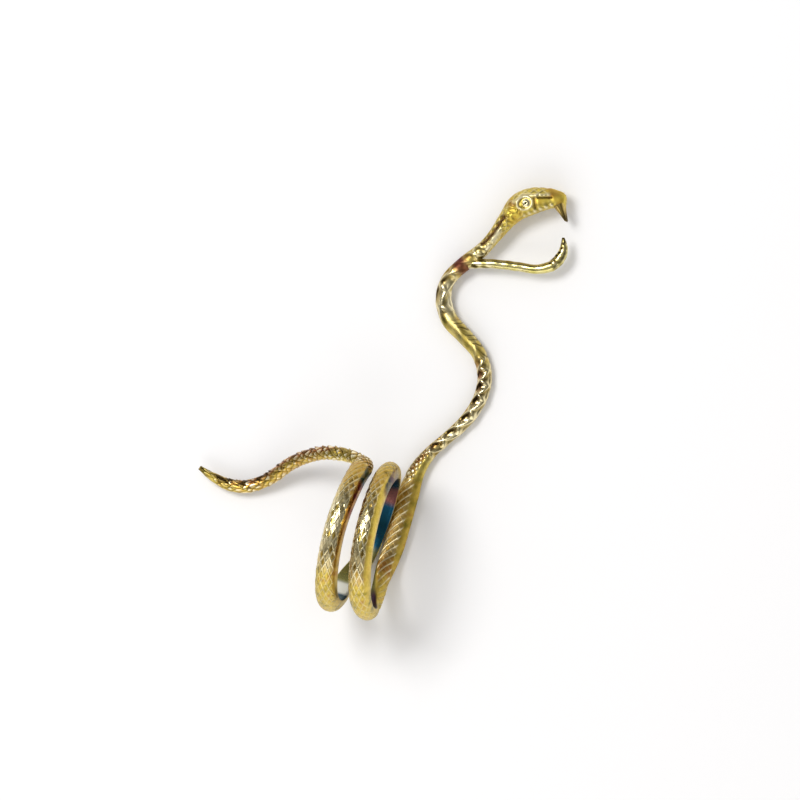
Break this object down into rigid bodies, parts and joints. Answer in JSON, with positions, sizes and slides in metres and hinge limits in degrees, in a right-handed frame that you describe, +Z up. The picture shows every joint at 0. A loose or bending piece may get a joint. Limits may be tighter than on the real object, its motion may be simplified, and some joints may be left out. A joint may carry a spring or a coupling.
{
  "type": "snake ring",
  "caption": "Coiled snake finger ring with scaled half-round body, open-mouthed head on a long winding neck and a trailing tail.",
  "frame": {"origin": "middle of the bottom of the box, on the surface that the ring lies on", "axes": "+X along the finger's axis towards the second turn, +Y from the coil to the head, +Z up from the surface"},
  "size_m": [0.0408, 0.0626, 0.0216],
  "materials": {
    "yellow_brass": "cast and polished yellow brass, scales darkened in their hollows"
  },
  "bodies": {
    "root": {"snake": "yellow_brass"}
  },
  "joints": []
}
